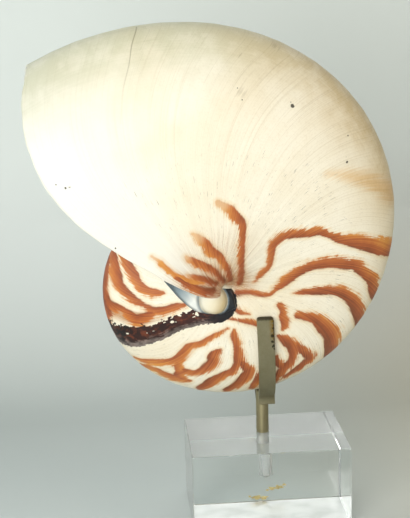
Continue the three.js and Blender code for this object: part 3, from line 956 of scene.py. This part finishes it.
# dull metal between a base and a worn colour, in clouds and fine upright scratches
def clipMaterial(name, base, worn):
    mat = newMaterial(name, metallic=0.75, roughness=0.5)
    here = objectPlace()
    cloud = noise(here, 160, 4, 0.6)
    fine = noise(stretched(here, (2600, 2600, 500)), 1, 3, 0.6)
    mixed = timesPlus(fine, 0.4, times(cloud, 0.6))
    colour = ramp(mixed, [(0.3, base), (0.7, worn)])
    join(colour, "colour")
    join(timesPlus(mixed, 0.35, 0.32), "roughness")
    bumped(fine, 0.2, 0.00005)
    return mat, colour


# soil on the front prong: mm from the tip, mm sideways, radius in mm
soil = {"spots": ((7.6, 2.6, 1.0), (10.4, 2.4, 0.7), (12.4, 2.7, 0.9), (4.2, 3.0, 0.7), (13.6, 3.1, 0.6)),
        "glow": "#8f6f28", "dark": "#1d180f"}


def barMaterial():
    mat, colour = clipMaterial("clipMetal", *metals["bar"])
    bar = readValues("bar")
    fromTip, aside, _ = parts(bar)
    grain = noise(stretched(bar, (1.2, 1.2, 0)), 1, 3, 0.6)
    glow = times(stepUp(aside, 0.9, 2.6), stepUp(fromTip, 12, 6))
    glow = times(glow, stepUp(grain, 0.3, 0.55))
    colour = blend(times(glow, 0.9), colour, soil["glow"])
    dark = stepUp(timesPlus(grain, 0.8, fromTip), 1.5, 0.5)
    side = times(stepUp(aside, 2.5, 3.0), stepUp(fromTip, 13, 9, 0, 0.7))
    dark = maths("MAXIMUM", dark, side)
    for along, out, radius in soil["spots"]:
        rough = shaken(distance(bar, (along, out, 0)), grain, 1.4)
        dark = maths("MAXIMUM", dark, stepUp(rough, radius, 0.6 * radius))
    colour = blend(times(dark, 0.85), colour, soil["dark"])
    join(colour, "colour")
    return mat


soiledMetal = barMaterial()
# back prong: the same dull metal in darker colours, painted shade
shadedBackMetal, _ = clipMaterial("shadedClipMetal", *metals["back"])
for name, bends, lean, facing, metal in [("front_prong", frontBends, frontLean, -1, soiledMetal),
                                         ("back_prong", backBends, backLean, 1, shadedBackMetal)]:
    rings, places = prongRings(bends, lean, facing)
    bar = closedSkin(name + "_bar", rings)
    ends = [places[0].mean(0)[None], places[-1].mean(0)[None]]
    setValues(bar.data, "bar", np.concatenate([places.reshape(-1, 3), *ends]), "POINT")
    smoothShade(bar)
    dress(bar, name, "clip_metal", metal)
rod = closedSkin("post_rod", postRings())
smoothShade(rod)
postMetal, _ = clipMaterial("postMetal", *metals["post"])
dress(rod, "post", "clip_metal", postMetal)
print("clip and post made")


block = {"width": 63.0, "depth": 43.0, "height": blockTop, "bevel": 0.5, "round": 0.8,
         "holeRadius": 2.7, "holeDepth": 15.5, "holePoint": 1.5, "rim": 0.15,
         "drillTip": 0.02, "midHole": 7, "sideSteps": 26}


# outline of the block drawn in by a margin: straight sides with a quarter circle at each corner
def blockOutline(margin):
    r = block["round"] - margin
    w, d = block["width"] / 2 - block["round"], block["depth"] / 2 - block["round"]
    arc = quarter(7)
    side = np.linspace(-1, 1, block["sideSteps"])[1:-1]
    corners = [np.stack([sx * w + r * np.cos(arc + a), sy * d + r * np.sin(arc + a)], -1)
               for sx, sy, a in [(1, 1, 0), (-1, 1, np.pi / 2), (-1, -1, np.pi), (1, -1, 1.5 * np.pi)]]
    runs = [np.stack([-side * w, 0 * side + d + r], -1), np.stack([0 * side - w - r, -side * d], -1),
            np.stack([side * w, 0 * side - d - r], -1), np.stack([0 * side + w + r, side * d], -1)]
    return np.concatenate([x for pair in zip(corners, runs) for x in pair])


# block: rings from the drill point up the hole, out over the top to the outline, down the sides and
# in under the base; each hole point lies on the line from the hole's axis to its outline point
def blockRings():
    axis = np.array([post["x"], post["y"]])
    far = blockOutline(block["bevel"]) - axis
    ray = far / np.linalg.norm(far, axis=1)[:, None]
    top, r, rim, bevel = block["height"], block["holeRadius"], block["rim"], block["bevel"]
    floor = top - block["holeDepth"]
    hole = [(block["drillTip"], floor - block["holePoint"]), (r - 0.1, floor - 0.05), (r, floor + 0.1),
            (r, top - block["midHole"]), (r, top - rim), (r + rim, top)]
    k = quarter(6)
    margins = bevel * np.concatenate([1 - np.sin(k), 1 - np.cos(k)])
    heights = np.concatenate([top - bevel * (1 - np.cos(k)), bevel * (1 - np.sin(k))])
    rows = [(axis + out * ray, z) for out, z in hole]
    rows += [(blockOutline(margin), z) for margin, z in zip(margins, heights)]
    return np.stack([np.column_stack([plan, np.full(len(ray), z)]) for plan, z in rows])


# finishes of the acrylic: least and most roughness, and how clear
acrylics = {"clearAcrylic": (0.015, 0.08, 1.0), "sawnAcrylic": (0.35, 0.5, 0.9),
            "drilledAcrylic": (0.4, 0.6, 0.75)}


# clear acrylic, roughness from a low to a high value in cloudy patches
def acrylicMaterial(name, smoothest, roughest, clear):
    mat = newMaterial(name, ior=1.49, transmission=clear, colour=paint("#fcfefd"))
    here = objectPlace()
    haze = noise(here, 70, 3, 0.6)
    join(stepUp(haze, 0.4, 0.7, smoothest, roughest), "roughness")
    return mat


# dried glue: thin lumps with a wavy round outline, on the block's back face near the floor
glue = {"thick": 0.22, "colours": [(0.35, "#b79f55"), (0.65, "#d8c684")],
        # mm across, mm up, half width, half height, phase of the waves
        "lumps": ((3.2, 5.2, 1.5, 0.7, 1), (6.0, 5.6, 1.7, 0.8, 2), (8.2, 6.6, 0.8, 0.5, 3),
                  (1.2, 4.6, 0.7, 0.4, 4), (-3.4, 1.6, 1.8, 0.9, 5), (-0.4, 1.3, 1.6, 0.8, 6),
                  (-6.2, 2.2, 0.6, 0.4, 7))}


def lumpRings(x, z, wide, tall, seed):
    k = fullTurn(40)
    wave = 1 + 0.2 * np.sin(3 * k + seed) + 0.15 * np.sin(5 * k + 2 * seed) + 0.1 * np.sin(9 * k + 5 * seed)
    share = np.array([0.9, 1, 0.92, 0.6])[:, None] * wave
    deep = block["depth"] / 2 + 0.02 + glue["thick"] * np.array([0, 0.3, 0.75, 1])[:, None]
    return np.stack([x + wide * share * np.cos(k), deep + 0 * share, z + tall * share * np.sin(k)], -1)


def glueMaterial():
    mat = newMaterial("driedGlue", roughness=0.5)
    join(ramp(noise(objectPlace(), 900, 3, 0.6), glue["colours"]), "colour")
    return mat


slab = closedSkin("block_slab", blockRings())
m = len(blockOutline(0))
inHole = np.arange(len(slab.data.polygons)) < 4 * m  # drill point and walls of the hole
smooth = inHole.copy()
smooth[:m] = False
slab.data.polygons.foreach_set("use_smooth", smooth)
finish = 2 * inHole.astype(np.int32)  # places in the list of finishes
finish[-m:] = 1  # underside
slab.data.polygons.foreach_set("material_index", finish)
finishes = [acrylicMaterial(name, *values) for name, values in acrylics.items()]
dress(slab, "block", "clear_acrylic", *finishes)
driedGlue = glueMaterial()
for i, lump in enumerate(glue["lumps"]):
    spot = closedSkin("block_glue%d" % i, lumpRings(*lump))
    smoothShade(spot)
    dress(spot, "block", "clear_acrylic", driedGlue)
print("block made")


# the sweep's colours darken in a band where the floor runs into the bend and grow lighter up the wall:
# painted shade and painted light
studio = {"drop": -0.4, "front": -2500.0, "bendFrom": 130.0, "bend": 130.0, "height": 1500.0,
          "halfWidth": 2500.0, "bendSteps": 24,
          "colours": [(0.0, "#d1d9d8"), (0.11, "#bdc4c2"), (0.2, "#c8cfcc"), (0.36, "#d9e0dd"),
                      (0.7, "#e0e8e4")],
          "warmShade": "#fff0dd", "warmShadeAcross": (-0.02, 0.14), "warmShadeUp": (0.4, 0.1),
          "world": "#e6ebec", "worldStrength": 0.37}
# lamps: place and aim in metres, size in metres, watts and colour
lamps = {"keyLamp": ((-0.45, -1.0, 0.3), (-0.03, 0, 0.12), 0.8, 13.6, "#fffdfa"),
         "sideLamp": ((-1.1, 0.05, 0.25), (0, 0, 0.06), 0.6, 1.0, "#f6fbff"),
         "warmLamp": ((0.9, -0.5, 0.5), (0.15, 0.26, 0.3), 0.6, 1.7, "#ffeedb"),
         "cardLamp": ((0.03, 0.245, 0.16), (0.03, 0, 0.16), 0.24, 0.12, "#ffffff")}


# pale sweep: a straight profile of floor, quarter circle and wall, drawn out sideways
def makeStudio():
    k = quarter(studio["bendSteps"])
    start, bend, wide = studio["bendFrom"], studio["bend"], studio["halfWidth"]
    y = np.concatenate([[studio["front"]], start + bend * np.sin(k), [start + bend]])
    z = np.concatenate([[0], bend * (1 - np.cos(k)), [studio["height"]]]) + studio["drop"]
    n = len(y)
    points = np.concatenate([np.stack([0 * y + x, y, z], -1) for x in (-wide, wide)])
    i = np.arange(n - 1)
    faces = np.stack([i, i + n, i + n + 1, i + 1], -1)
    mesh = bpy.data.meshes.new("studioSweep")
    mesh.from_pydata((points * mm).tolist(), [], faces.tolist())
    mesh.shade_smooth()
    sweep = bpy.data.objects.new("studioSweep", mesh)
    stage.collection.objects.link(sweep)
    mat = newMaterial("paleSweep", roughness=0.9, specular=0.1)
    right, deep, high = parts(objectPlace())
    up = maths("ADD", deep, high)
    # painted warm shadow on the lower right of the sweep, over the painted shade band of the ramp
    warmShade = times(stepUp(right, *studio["warmShadeAcross"]), stepUp(up, *studio["warmShadeUp"]))
    colour = blend(warmShade, ramp(up, studio["colours"]), studio["warmShade"], "MULTIPLY")
    join(colour, "colour")
    behind = addNode("ShaderNodeNewGeometry", {}).outputs["Backfacing"]
    clear = addNode("ShaderNodeBsdfTransparent", {}).outputs[0]
    pale = making["shader"].outputs[0]
    either = addNode("ShaderNodeMixShader", {0: behind, 1: pale, 2: clear}).outputs[0]
    mat.node_tree.links.new(either, mat.node_tree.nodes["Material Output"].inputs["Surface"])
    mesh.materials.append(mat)
    world = bpy.data.worlds.new("studio")
    stage.world = world
    world.use_nodes = True
    world.node_tree.nodes["Background"].inputs[0].default_value = paint(studio["world"])
    world.node_tree.nodes["Background"].inputs[1].default_value = studio["worldStrength"]


# a square lamp at a place that faces an aim point
def softLamp(name, at, aim, size, watts, seen):
    data = bpy.data.lights.new(name, "AREA")
    data.size = size
    data.energy = watts
    data.color = paint(seen)[:3]
    lamp = bpy.data.objects.new(name, data)
    lamp.location = at
    lamp.rotation_euler = (Vector(aim) - Vector(at)).to_track_quat("-Z", "Y").to_euler()
    stage.collection.objects.link(lamp)


makeStudio()
for name, values in lamps.items():
    softLamp(name, *values)
stage.view_settings.view_transform = "Standard"
stage.view_settings.look = "None"
print("studio lit")
